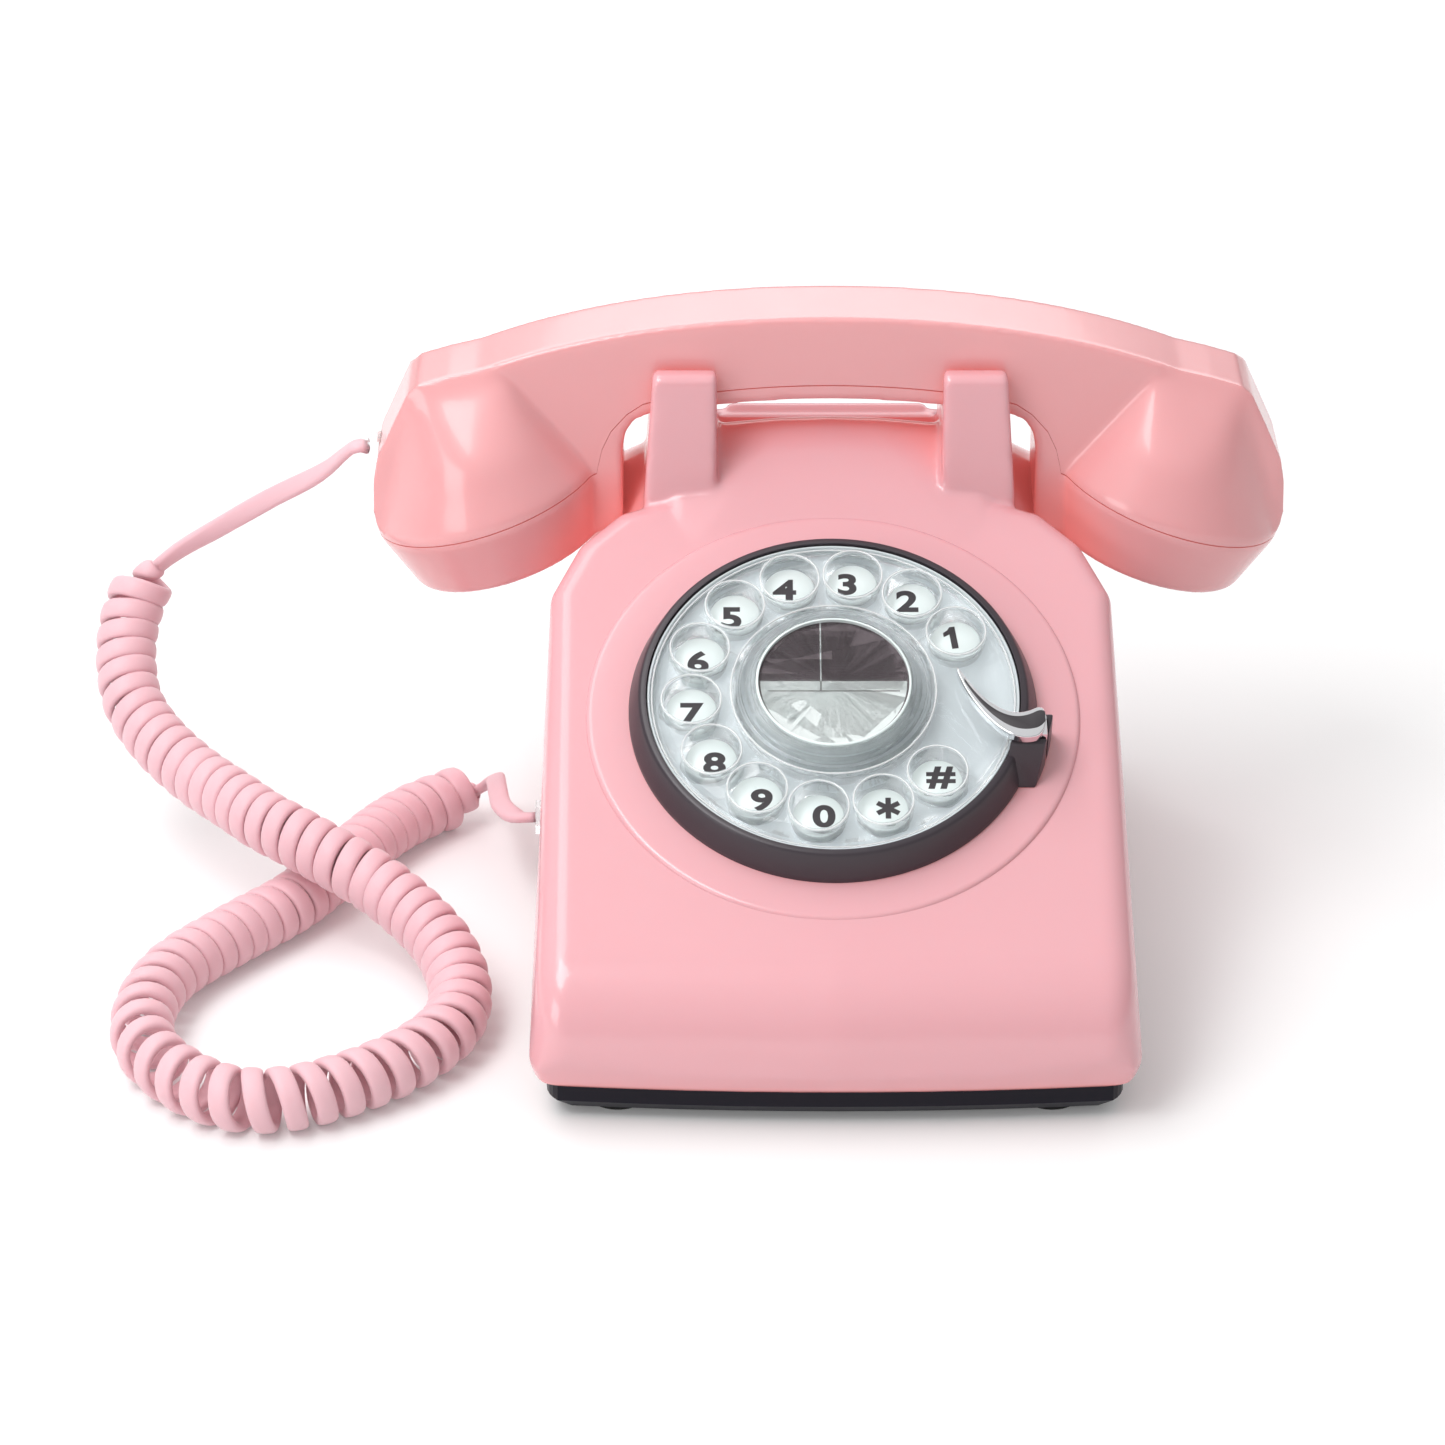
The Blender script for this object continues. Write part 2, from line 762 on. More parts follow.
@dataclass(frozen=True)
class Studio:
    """Camera, pale floor, soft lamps and a white sky; lamps are rows of name, place, aim, size and watts."""

    place: Point = (-26.9, -1163.92, 652.78)
    tilt_deg: float = 63.0
    lens_mm: float = 130.69
    sensor_mm: float = 36.0
    floor_half_mm: float = 6000.0
    horizon: float = 0.18
    zenith: float = 0.84
    left_share: float = 1.08
    right_share: float = 0.80
    floor_shade: float = 0.77
    floor_light: float = 0.11
    lamps: tuple[tuple[str, Point, Point, Pair, float], ...] = (
        ("left_key", (-0.65, -0.6, 1.3), (0, 0, 0.08), (0.7, 0.7), 10.0),
        ("left_window", (-1.0, -0.95, 0.42), (0, 0, 0.1), (0.6, 0.45), 2.9),
        ("left_ceiling", (-0.56, 0.15, 1.3), (-0.3, 0.05, 0.05), (0.9, 0.6), 4.8),
        ("rear_box", (0.0, 1.5, 1.0), (0, 0, 0.12), (2.4, 0.7), 9.0))

    def camera(self) -> None:
        """Sets the camera."""
        data = bpy.data.cameras.new("camera")
        data.lens = self.lens_mm
        data.sensor_width = self.sensor_mm
        data.sensor_fit = "HORIZONTAL"
        obj = bpy.data.objects.new("camera", data)
        obj.location = [v * MM for v in self.place]
        obj.rotation_euler = (math.radians(self.tilt_deg), 0.0, 0.0)
        bpy.context.collection.objects.link(obj)
        bpy.context.scene.camera = obj

    def lamp(self, name: str, place: Point, aim: Point, size: Pair, watts: float) -> None:
        """Adds one softbox.

        Args:
            name: Its name.
            place: Where it stands.
            aim: The point that it faces.
            size: Its width and height.
            watts: Its power.
        """
        data = bpy.data.lights.new(name, "AREA")
        data.shape = "RECTANGLE"
        data.size, data.size_y = size
        data.energy = watts
        obj = bpy.data.objects.new(name, data)
        obj.location = place
        obj.rotation_euler = (Vector(aim) - Vector(place)).to_track_quat("-Z", "Y").to_euler()
        bpy.context.collection.objects.link(obj)

    def build(self) -> None:
        """Sets the floor, the world and the softboxes."""
        floor = added(bpy.ops.mesh.primitive_plane_add, size=2 * self.floor_half_mm * MM)
        floor.name = "floor"
        paper = bpy.data.materials.new("studio_paper")
        paper.use_nodes = True
        shader = paper.node_tree.nodes["Principled BSDF"]
        shader.inputs["Base Color"].default_value = (*(3 * [self.floor_shade]), 1)
        shader.inputs["Roughness"].default_value = 0.9
        shader.inputs["Emission Color"].default_value = (1.0, 1.0, 1.0, 1)
        shader.inputs["Emission Strength"].default_value = self.floor_light
        floor.data.materials.append(paper)
        self.sky()
        bpy.context.scene.view_settings.view_transform = "Standard"
        for row in self.lamps:
            self.lamp(*row)

    def sky(self) -> None:
        """Sets a white world that is brighter overhead than at the horizon, and dimmer on the right."""
        world = bpy.data.worlds.new("studio")
        world.use_nodes = True
        tree = world.node_tree
        ahead = tree.nodes.new("ShaderNodeTexCoord")
        split = tree.nodes.new("ShaderNodeSeparateXYZ")
        rise = tree.nodes.new("ShaderNodeMapRange")
        rise.inputs["From Min"].default_value, rise.inputs["From Max"].default_value = 0.0, 0.8
        rise.inputs["To Min"].default_value = self.horizon
        rise.inputs["To Max"].default_value = self.zenith
        tree.links.new(ahead.outputs["Generated"], split.inputs["Vector"])
        tree.links.new(split.outputs["Z"], rise.inputs["Value"])
        across = tree.nodes.new("ShaderNodeMapRange")
        across.inputs["From Min"].default_value, across.inputs["From Max"].default_value = -0.6, 0.9
        across.inputs["To Min"].default_value = self.left_share
        across.inputs["To Max"].default_value = self.right_share
        both = tree.nodes.new("ShaderNodeMath")
        both.operation = "MULTIPLY"
        tree.links.new(split.outputs["X"], across.inputs["Value"])
        tree.links.new(rise.outputs["Result"], both.inputs[0])
        tree.links.new(across.outputs["Result"], both.inputs[1])
        tree.links.new(both.outputs["Value"], tree.nodes["Background"].inputs["Strength"])
        tree.nodes["Background"].inputs["Color"].default_value = (1.0, 1.0, 1.0, 1)
        bpy.context.scene.world = world


# ---------------------------------------------------------------- cord


@dataclass
class CurlyCord:
    """Flat cable wound into curls along a route that lies on the table and crosses itself."""

    plug_face: float = -HANDSET_L / 2 - 1.5
    body_face: float = -HALF_W - 1.5
    coil_from: float = 76.0
    coil_to: float = 528.0
    curl_d: float = 15.9
    width: float = 5.3
    thick: float = 2.7
    first_turn: float = 234.0
    per_curl: int = 24
    sides: int = 14
    grow: float = 1.0
    fine: int = 10

    def route(self) -> list[Vector]:
        """Gives the route from the handset's plug to the housing's.

        Returns:
            Its points, in millimetres.
        """
        jack_y, jack_z = BODY_JACK
        points = [(self.plug_face - 0.3, HAND_Y, PLUG_Z), (self.plug_face - 4, HAND_Y, PLUG_Z),
                  (-130, 64, 99), (-144, 70.5, 88.7), (-158, 76, 78), (-169.5, 78, 70), (-177, 77, 63.5),
                  (-181, 72.5, 56.5), (-182.5, 66, 49.5), (-182, 59.5, 43.8), (-180, 52.5, 39),
                  (-175.5, 45, 35.2), (-169, 36.5, 32.2), (-160.5, 27.5, 29.5), (-151, 17.5, 28.3),
                  (-143, 9, 27.2), (-134.5, 2, 26.2), (-122, -6.5, 23.2), (-112.5, -12.5, 20),
                  (-103.5, -21.5, 16.8), (-96.2, -31.5, 13.8), (-92, -42.5, 10.6), (-91.3, -53, 8.6),
                  (-94.2, -64, 8), (-103, -77, 8), (-116, -88, 8), (-130, -95, 8), (-143, -95, 8),
                  (-156, -86, 8), (-166, -71, 8), (-168, -53, 8), (-163, -34, 8), (-150, -16, 8),
                  (-136, 1, 8), (-126, 19, 8), (-116, 38, 8), (-108, 49, 8), (-99, 57, 8), (-91, 60, 9.5),
                  (-87, 57, 14), (-86, 49, 17.5), (-85, 38, 20), (-83.5, 27, 22),
                  (self.body_face - 5, jack_y + 1, jack_z - 0.4), (self.body_face, jack_y, jack_z)]
        return [Vector(p) for p in points]

    def pitches(self) -> list[Pair]:
        """Gives the pitch of the curls along the route.

        Returns:
            Rows of a distance along the route and the pitch there.
        """
        return [(self.coil_from, 7.4), (80, 7.2), (90, 6), (104, 5.7), (113, 6.2), (120, 6.1), (130, 5.7),
                (145, 5.6), (165, 5.5), (200, 5.5), (210, 5.8), (245, 5.8), (260, 6.1), (272, 6.6),
                (281, 7.3), (296, 6.8), (320, 6.6), (328, 7), (342, 7), (365, 9), (386, 8.2), (406, 6.8),
                (421, 5.5), (500, 5.5), (515, 6.4), (self.coil_to, 7.2)]

    @staticmethod
    def looked_up(at: float, table: Sequence[tuple], pick: Callable) -> object:
        """Interpolates a table that is sorted by its first column.

        Args:
            at: Where to read.
            table: Rows of a distance and a value.
            pick: Gives the value of a row.

        Returns:
            The value there.
        """
        if at <= table[0][0]:
            return pick(table[0])
        if at >= table[-1][0]:
            return pick(table[-1])
        high = bisect_right(table, at, key=lambda row: row[0])
        low = high - 1
        share = (at - table[low][0]) / (table[high][0] - table[low][0])
        return pick(table[low]) * (1 - share) + pick(table[high]) * share

    def axis(self) -> list[tuple[float, Vector, Vector]]:
        """Draws a smooth line through the route's points.

        Returns:
            Rows of the distance run, the point there, and a direction square to the line, carried along
            untwisted.
        """
        p = self.route()
        last = len(p) - 1
        line: list[Vector] = []
        for i in range(last):
            a, b, c, d = p[max(i - 1, 0)], p[i], p[i + 1], p[min(i + 2, last)]
            for k in range(self.fine):
                t = k / self.fine
                bend = 2 * a - 5 * b + 4 * c - d + t * (3 * (b - c) + d - a)
                line.append(b + 0.5 * t * (c - a + t * bend))
        line.append(p[last])
        rows, run, up = [], 0.0, Vector((0, 0, 1))
        for i, point in enumerate(line):
            ahead = (line[min(i + 1, len(line) - 1)] - line[max(i - 1, 0)]).normalized()
            up = (up - up.dot(ahead) * ahead).normalized()
            if i:
                run += (point - line[i - 1]).length
            rows.append((run, point, up.copy()))
        return rows

    def rings(self) -> list[tuple[Vector, Vector]]:
        """Winds the cable round the axis.

        Returns:
            Each ring's middle and the direction that its flat side faces.
        """
        rows = self.axis()
        end = rows[-1][0]

        def place(s: float) -> Vector:
            """Point of the axis at a distance."""
            return self.looked_up(s, rows, lambda row: row[1])

        def frame_at(s: float) -> tuple[Vector, Vector]:
            """Directions square to the axis at a distance.

            Args:
                s: The distance.

            Returns:
                The side direction and the lift direction.
            """
            ahead = (place(min(s + 1.5, end)) - place(max(s - 1.5, 0.0))).normalized()
            side = ahead.cross(self.looked_up(s, rows, lambda row: row[2])).normalized()
            return side, side.cross(ahead)

        def facing(s: float, degrees: float) -> Vector:
            """Direction square to the axis at a distance, turned from the side towards the lift."""
            side, lift = frame_at(s)
            return side * math.cos(math.radians(degrees)) + lift * math.sin(math.radians(degrees))

        table = self.pitches()
        distances, s = [], self.coil_from
        while s < self.coil_to:
            distances.append(s)
            s += self.looked_up(s, table, lambda row: row[1]) / self.per_curl
        radius = (self.curl_d - self.thick) / 2
        ramp = self.grow * self.per_curl
        coil = []
        for i, s in enumerate(distances):
            out = facing(s, self.first_turn - 360 * i / self.per_curl)
            near = min(1.0, i / ramp, (len(distances) - 1 - i) / ramp)
            coil.append((place(s) + out * radius * (1 - math.cos(math.pi * near)) / 2, out))
        steps = 40
        head = [(place(s), facing(s, 90 + (self.first_turn - 90) * k / steps))
                for k, s in enumerate(self.coil_from * k / steps for k in range(steps))]
        last = coil[-1][1]
        tail_from = distances[-1]
        tail = [(place(tail_from + (end - tail_from) * k / steps), last) for k in range(1, steps + 1)]
        return head + coil + tail

    def build(self) -> Piece:
        """Returns:
            The cord.
        """
        rings = self.rings()
        middles = [ring[0] for ring in rings]
        mesh = bpy.data.meshes.new("handset_cord")
        work = bmesh.new()
        loops = []
        for i, (middle, out) in enumerate(rings):
            ahead = (middles[min(i + 1, len(rings) - 1)] - middles[max(i - 1, 0)]).normalized()
            wide = ahead.cross(out).normalized()
            thin = wide.cross(ahead).normalized()
            loop = []
            for k in range(self.sides):
                a = math.tau * k / self.sides
                c, s = math.cos(a), math.sin(a)
                w = math.copysign(abs(c) ** 0.75, c) * self.width / 2
                t = math.copysign(abs(s) ** 0.75, s) * self.thick / 2
                loop.append(work.verts.new(middle + wide * w + thin * t))
            loops.append(loop)
        for low, high in zip(loops, loops[1:]):
            for k in range(self.sides):
                j = (k + 1) % self.sides
                work.faces.new((low[k], low[j], high[j], high[k]))
        work.faces.new(list(reversed(loops[0])))
        work.faces.new(loops[-1])
        bmesh.ops.recalc_face_normals(work, faces=work.faces)
        work.to_mesh(mesh)
        work.free()
        obj = bpy.data.objects.new("handset_cord", mesh)
        bpy.context.collection.objects.link(obj)
        for face in mesh.polygons:
            face.use_smooth = True
        obj.scale = (MM, MM, MM)
        baked(obj)
        mesh.materials.append(CORD.material())
        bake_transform(obj)
        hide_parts("cord_handset_lead", "cord_coil", "cord_body_lead")
        return obj


# ---------------------------------------------------------------- housing


@dataclass
class Housing:
    """Glossy wedge-shaped housing with neck, low rear deck, four horns and a raised round field."""

    skirt_z: float = 9.2
    skirt_in: float = 3.5
    corner_r: float = 10.0
    bow_r: float = 720.0
    draft: float = 3.5
    edge_r: float = 5.0
    nose_r: float = 26.0
    nose_ball: float = 8.0
    nose_z: float = 18.5
    neck_w: float = 50.0
    neck_r: float = 8.0
    crown_y: float = 60.0
    deck_z: float = 65.0
    horn_in: float = 28.3
    horn_w: float = 16.0
    horn_foot: float = 2.4
    horn_top: float = 136.2
    horn_clear: float = 0.8
    field_r: float = 60.3
    field_h: float = 1.2
    bore_r: float = 46.3
    plunger_x: float = 36.0
    plunger_r: float = 3.8
    dish_r: float = 18.0
    dish_depth: float = 5.4
    jack_half: float = 6.0
    line_jack_half: float = 7.0
    bar_short: float = 2.6
    shoulder: tuple[Pair, ...] = ((8.2, 37.0), (14.5, 51.0), (23.0, 59.5), (33.0, 63.0))
    voxel: float = 0.85
    rounds: int = 5

    def plan(self, inset: float, back: float, height: float, steps: int = 24) -> Piece:
        """Makes the housing's outline at one height.

        Args:
            inset: How far it is drawn in.
            back: Where it ends towards the rear.
            height: Its height above the table.
            steps: Points on each corner.

        Returns:
            A flat face.
        """
        front_x = HALF_W - inset - self.corner_r
        rear_x = front_x - self.draft
        r = self.corner_r
        corners = [(front_x, FRONT_Y + inset + r, -90), (rear_x, back - inset - r, 0)]
        half: list[Pair] = []
        for x, y, start in corners:
            for k in range(steps + 1):
                a = math.radians(start + 90 * k / steps)
                half.append((x + r * math.cos(a), y + r * math.sin(a)))

        def bow(x: float) -> float:
            """Gives how far forward the bowed front lies at a distance from the middle."""
            return FRONT_Y + self.bow_r + inset - math.sqrt(self.bow_r ** 2 - x * x)

        bowed = [(x, max(y, bow(x))) for x, y in half]
        front = [(x, bow(x)) for x in (front_x * (k / 12 - 1) for k in range(1, 24))]
        ring = front + bowed + [(-x, y) for x, y in reversed(bowed)]
        return outline([(x, y, height) for x, y in ring])

    def wedge(self) -> Piece:
        """Makes the front wedge that carries the dial panel.

        Returns:
            A closed convex body.
        """
        parts = [self.plan(self.skirt_in, 50, self.skirt_z), self.plan(0, 52, self.skirt_z + 6),
                 self.plan(0, 52, self.skirt_z + 6.5), self.plan(1.2, 51, self.skirt_z + 1.9)]
        r, side_x = self.nose_r - self.nose_ball, HALF_W - 1.5 - self.nose_ball
        for x, back in ((-side_x, 1.7), (0, 0), (side_x, 1.7)):
            for k in range(9):
                a, y = math.radians(4 + 58 * k / 8), FRONT_Y + self.nose_r + back
                middle = (x, y - r * math.cos(a), self.nose_z + r * math.sin(a))
                parts.append(ball(middle, self.nose_ball, 40))
        for side in (-1, 1):
            for inset, up in self.shoulder:
                parts.append(ball(panel(side * (HALF_W - inset), up, -self.edge_r), self.edge_r, 40))
        return hull(parts)

    def deck(self) -> Piece:
        """Makes the low rear part.

        Returns:
            A closed convex body.
        """
        rear = -FRONT_Y
        parts = [self.plan(self.skirt_in, rear - self.skirt_in, self.skirt_z),
                 self.plan(0, rear, self.skirt_z + 6), self.plan(0, rear, self.skirt_z + 6.5)]
        for side in (-1, 1):
            parts.append(ball((side * (HALF_W - 13), 20, self.deck_z - 9), 9))
            parts.append(ball((side * (HALF_W - 15), rear - 13, self.deck_z - 18), 9))
        return hull(parts)

    def neck(self) -> Piece:
        """Makes the raised neck under the handset.

        Returns:
            A closed convex body.
        """
        crown, shoulder, r = DIAL_UP + 44.9, DIAL_UP + 25.3, self.neck_r
        slope_z = DIAL_UP + (20 - DIAL_Y) * math.tan(PANEL_SLOPE)
        parts = []
        for side in (-1, 1):
            parts += [ball((side * (self.neck_w - 12), 20, slope_z - 7.5), 6),
                      ball((side * (self.neck_w - 14), self.crown_y - 5, crown - 8.6), 6),
                      ball((side * 12, self.crown_y - 5, crown - 6.3), 6),
                      ball((side * 0.01, self.crown_y - 5, crown - 6), 6),
                      ball((side * (self.neck_w - r), 40, shoulder - r), r),
                      ball((side * (self.neck_w - r), 76, shoulder - r), r),
                      ball((side * (self.neck_w + 2), 82, shoulder - r - 2.6), r),
                      ball((side * (self.neck_w + 8), 84, 48), r),
                      ball((side * (self.neck_w + 8), 10, 48), r)]
        return hull(parts)

    def horn(self, side: int, shape: Sequence[Pair], width: float, height: float) -> Piece:
        """Makes one horn of the cradle.

        Args:
            side: -1 for the left one and 1 for the right one.
            shape: Its outline seen from the side.
            width: Its width.
            height: Height of its root.

        Returns:
            The horn, rounded along its edges.
        """
        inner = side * self.horn_in
        obj = prism([(inner, y, z) for y, z in shape], (side * (width + self.horn_foot), 0, 0))
        lean = self.horn_foot / (self.horn_top - height - 12)
        with editing(obj):
            bpy.ops.mesh.bisect(plane_co=(side * (self.horn_in + width), 0, self.horn_top),
                                plane_no=(side, 0, lean), use_fill=True, clear_outer=True)
        return bevelled(outward(obj), 1.1, 4, 50)

    def horns(self) -> list[Piece]:
        """Makes the four horns with the saddles between them.

        Returns:
            The closed bodies that they are made of.
        """
        front, back = HAND_Y - GRIP_D / 2, HAND_Y + GRIP_D / 2
        root, top, gap = DIAL_UP + 18, self.horn_top, self.horn_clear
        saddle = Handset.under(self.horn_in + self.horn_w) - 0.3
        front_shape = [(front - 9.5, root), (front - 9.5, root + 13), (front - 6.9, top - 1.4),
                       (front - 5.5, top), (front - gap, top), (front - gap, saddle), (back + 2, saddle),
                       (back + 2, root)]
        rear_shape = [(back + gap, root), (back + gap, top), (back + 7, top), (back + 10, root)]
        made = []
        for side in (-1, 1):
            made.append(self.horn(side, front_shape, self.horn_w, root))
            made.append(self.horn(side, rear_shape, self.horn_w - 4, root))
        bar = DIAL_UP + 36.2
        bar_side = [(back + 1, root + 0.6), (back + 1, bar - 13), (back + 4, bar - 6.5), (back + 12.5, bar),
                    (back + 15, bar), (back + 15, root + 0.6)]
        reach, web = self.horn_in - self.bar_short, self.horn_in + 1
        made.append(bevelled(prism([(-reach, y, z) for y, z in bar_side], (2 * reach, 0, 0)), 0.8, 3))
        made.append(block((-web, back + 8, root + 0.6), (web, back + 13.5, bar - 1.2)))
        return made

    def field(self) -> Piece:
        """Makes the raised round field behind the dial, with a soft edge.

        Returns:
            The field's ring, on the panel.
        """
        r, h = self.field_r, self.field_h
        profile = [(self.bore_r, -1.5), (self.bore_r, h), (r - 1.6, h), (r - 1.0, h - 0.08),
                   (r - 0.5, h - 0.3), (r - 0.15, h - 0.7), (r, h - 1.3), (r, -1.5)]
        return smooth_by_angle(on_panel(lathe(profile, 240)), 50)

    def build(self) -> None:
        """Melts the parts into one moulding and cuts its openings."""
        obj = joined([self.wedge(), self.deck(), self.neck(), *self.horns()])
        softened(obj, self.voxel, self.rounds)
        cut(obj, on_panel(rod((0, 0, -2), self.bore_r, 20, facets=160)))
        cut(obj, ball((-HALF_W - self.dish_r + self.dish_depth, *BODY_JACK), self.dish_r, 96))
        for x in (-self.plunger_x, self.plunger_x):
            cut(obj, rod((x, HAND_Y, 110), self.plunger_r, 60, facets=48))
        (y, z), half = BODY_JACK, self.jack_half
        cut(obj, block((-HALF_W - 10, y - half, z - half), (-HALF_W + 15, y + half, z + half)))
        (x, z), wide = LINE_JACK, self.line_jack_half
        cut(obj, block((x - wide, 86, z - half), (x + wide, 110, z + half)))
        smooth_by_angle(obj, 40)
        settle(obj, "housing_shell", Body.BASE, PINK, ["housing"])
        settle(self.field(), "dial_field", Body.BASE, PINK, [])


# ---------------------------------------------------------------- handset


@dataclass
class Handset:
    """Handset with a bowed grip and two cups; a seam parts its outer shell from its inner one."""

    cup_r: float = 30.5
    cap_r: float = 25.5
    cap_h: float = 17.0
    cup_tilt: float = math.radians(18.5)
    cup_apex: Pair = (82.5, 134.2)
    cup_corner: Pair = (102.3, 129.6)
    tip_r: float = 1.6
    swell_r: float = 20.6
    swell_share: float = 0.45
    limb_x: float = 52.1
    seam_drop: float = 4.1
    seam_gap: float = 0.3
    chamfer: float = 2.6
    voxel: float = 0.75
    rounds: int = 6
    cap_holes: int = 6
    hole_circle_r: float = 8.0
    hole_r: float = 1.2
    screw_x: float = 61.0
    plug_half: Pair = (3.55, 3.05)

    @property
    def cup_x(self) -> float:
        """Distance of a cup's middle from the plane of symmetry."""
        return HANDSET_L / 2 - self.cup_r * math.cos(self.cup_tilt) - 0.2

    @property
    def cup_z(self) -> float:
        """Height of a cup's middle."""
        return GRIP_TOP - 51.3

    @staticmethod
    def over(x: float) -> float:
        """Height of the grip's top at a distance from the middle."""
        return GRIP_TOP - 0.001485 * x * x - 4.6e-8 * x ** 4

    @staticmethod
    def under(x: float) -> float:
        """Height of the grip's underside at a distance from the middle."""
        return GRIP_TOP - 22 - 0.0021 * x * x

    def leaning(self, side: int) -> tuple[Point, Vector, Vector]:
        """Works out how a cup leans.

        Args:
            side: -1 for the left cup and 1 for the right one.

        Returns:
            The cup's rotation, the direction up its axis and the one across it.
        """
        lean = side * self.cup_tilt
        up, across = Vector((math.sin(lean), 0, math.cos(lean))), Vector((math.cos(lean), 0, -math.sin(lean)))
        return (0.0, lean, 0.0), up, across

    def cup_middle(self, side: int) -> Vector:
        """Gives the middle of a cup's widest ring."""
        return Vector((side * self.cup_x, HAND_Y, self.cup_z))

    def half_outline(self) -> list[Pair]:
        """Outline of the right half, seen from the front.

        Returns:
            Points of x and height, from the top's middle round to the underside's.
        """
        end, top, limb = HANDSET_L / 2, GRIP_TOP, self.limb_x
        points = [(float(x), self.over(x)) for x in range(0, 92, 4)]
        points += [(96.0, 132.9), (103.5, 130.6), (106.3, 128.0), (110.4, 119.0), (114.2, 110.5),
                   (115.3, 104.0), (end, 96.0), (end - 1, 91.0), (end - 6, 87.5), (limb + 7, 90.0),
                   (limb + 1.6, 92.4), (limb, 95.0), (limb, top - 35.5), (limb - 0.8, top - 31),
                   (limb - 3, top - 27.7), (limb - 6.5, top - 26.1)]
        points += [(float(x), self.under(x)) for x in range(42, -1, -3)]
        return points

    def grip(self) -> Piece:
        """Makes the grip with its two limbs.

        Returns:
            A closed body.
        """
        right = self.half_outline()
        ring = right + [(-x, z) for x, z in reversed(right[1:-1])]
        front, back = HAND_Y - GRIP_D / 2, HAND_Y + GRIP_D / 2
        obj = outline([(x, front, z) for x, z in ring])
        with editing(obj):
            bpy.ops.mesh.extrude_region_move(TRANSFORM_OT_translate={"value": (0, GRIP_D - self.chamfer, 0)})
            bpy.ops.mesh.extrude_region_move(TRANSFORM_OT_translate={"value": (0, self.chamfer, 0)})
        for vertex in obj.data.vertices:
            x, y, z = vertex.co
            if y > back - 0.1 and abs(x) < HANDSET_L / 2 - 11 and z > self.over(x) - 0.1:
                vertex.co.z = z - 0.8 * self.chamfer
        return outward(obj)

    def rounded_cups(self, obj: Piece) -> Piece:
        """Smooths the sides of the cups, where they swell out of the grip.

        Args:
            obj: The handset's whole form.

        Returns:
            The changed object.
        """
        group = obj.vertex_groups.new(name="cup_sides")
        cups = {side: (self.cup_middle(side), self.leaning(side)[1]) for side in (-1.0, 1.0)}
        (apex_x, apex_z), (corner_x, corner_z) = self.cup_apex, self.cup_corner
        for vertex in obj.data.vertices:
            middle, axis = cups[math.copysign(1.0, vertex.co.x)]
            x, z = abs(vertex.co.x), vertex.co.z
            above = (vertex.co - middle).dot(axis) - 3.0
            beside = abs(vertex.co.y - HAND_Y) - GRIP_D / 2 + 0.6
            past_crease = 0.12 + (0.766 * (x - apex_x) - 0.643 * (z - apex_z)) / 9.0
            from_corner = math.hypot(x - corner_x, z - corner_z)
            weight = min(1.0, above / 6.0, beside / 1.2, past_crease, 0.2 + from_corner / 7.0)
            if weight > 0 and x > self.limb_x:
                group.add([vertex.index], weight, "REPLACE")
        applied(obj, "SMOOTH", factor=0.6, iterations=150, vertex_group="cup_sides")
        return obj

    def cup(self, side: int) -> Piece:
        """Makes one cup, from the grip's corner to the cap.

        Args:
            side: -1 for the left one and 1 for the right one.

        Returns:
            The closed solid.
        """
        turn, axis, _ = self.leaning(side)
        middle = self.cup_middle(side)
        half = GRIP_D / 2 - self.tip_r + 0.3
        parts = [ball((side * x, HAND_Y + y, z - self.tip_r), self.tip_r, 24)
                 for x, z in (self.cup_apex, self.cup_corner) for y in (-half, half)]
        for y in (-5.0, 5.0):
            swell = middle + Vector((1.6, 0, 0)) * side + Vector((0, y, self.swell_share * 36))
            parts.append(rod(swell, self.swell_r, 0.5, (0.0, side * self.cup_tilt * 0.55, 0.0), 96))
        parts.append(rod(middle, self.cup_r, 3, turn, 160))
        parts.append(rod(middle + axis * (1.3 - self.cap_h), self.cap_r + 0.4, 0.8, turn, 160))
        parts.append(rod(middle + axis * (0.5 - self.cap_h), self.cap_r - 0.8, 1.0, turn, 160))
        return hull(parts)

    def below_seam(self, drop: float) -> Piece:
        """Makes the space under the seam.

        Args:
            drop: How far its top lies under the seam's middle line.

        Returns:
            A closed solid wider than the handset.
        """
        top, limb, wide = GRIP_TOP, self.limb_x, 130.0
        half = [(float(x), self.under(x) + self.seam_drop) for x in range(0, 43, 3)]
        lean = math.tan(self.cup_tilt)
        half += [(limb - 5.1, top - 23.1), (limb - 1.1, top - 25.9), (limb + 2.9, top - 30.5),
                 (limb + 5.2, top - 35.5), (limb + 6.2, top - 39.9)]
        half += [(x, self.cup_z + (self.cup_x - x) * lean) for x in (limb + 6.6, wide)]
        ring = half + [(wide, 30.0), (-wide, 30.0)] + [(-x, z) for x, z in reversed(half[1:])]
        return prism([(x, HAND_Y - 50, z - drop) for x, z in ring], (0, 100, 0))

